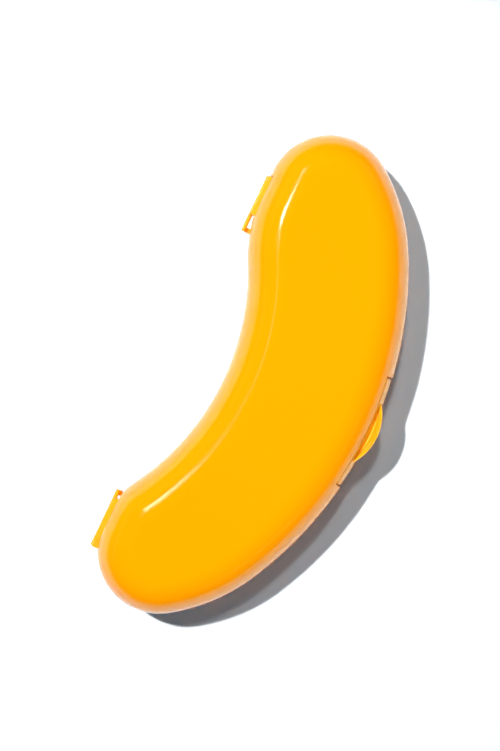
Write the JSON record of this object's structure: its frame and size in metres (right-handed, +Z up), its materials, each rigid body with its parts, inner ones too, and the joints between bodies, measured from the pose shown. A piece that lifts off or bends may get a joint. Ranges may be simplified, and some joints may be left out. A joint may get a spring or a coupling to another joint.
{
  "type": "banana carrying case",
  "caption": "Bean-shaped hard plastic carrying case for a banana: hollow base and lid joined by clip hinges along the straight back line, held shut by a flap latch with a thumb tab.",
  "frame": {"origin": "centre of the closed case's box, on the plane the flat underside rests on", "axes": "+X along the case towards the wide end's hinge, +Y from the latch to the hinges, +Z up"},
  "size_m": [0.24, 0.0984, 0.048],
  "materials": {
    "shell": "glossy yellow-orange injection-moulded plastic",
    "hinge": "glossy yellow-orange moulded plastic",
    "latch": "glossy yellow-orange moulded plastic",
    "pin": "plain drawn wire"
  },
  "bodies": {
    "base": {"base_shell": "shell", "hinge_loop_wide_end": "hinge", "hinge_loop_narrow_end": "hinge", "latch_pin": "pin"},
    "lid": {"lid_shell": "shell", "hinge_hook_wide_end": "hinge", "hinge_hook_narrow_end": "hinge"},
    "latch": {"latch_flap": "latch"}
  },
  "joints": [
    {"name": "lid_hinge", "type": "hinge", "parent": "base", "child": "lid", "pos_m": [0, 0.0482, 0.024], "axis": [-1, 0, 0], "range_deg": [0, 180]},
    {"name": "latch_hinge", "type": "hinge", "parent": "base", "child": "latch", "pos_m": [0, -0.0436, 0.0168], "axis": [1, 0, 0], "range_deg": [0, 60]}
  ]
}
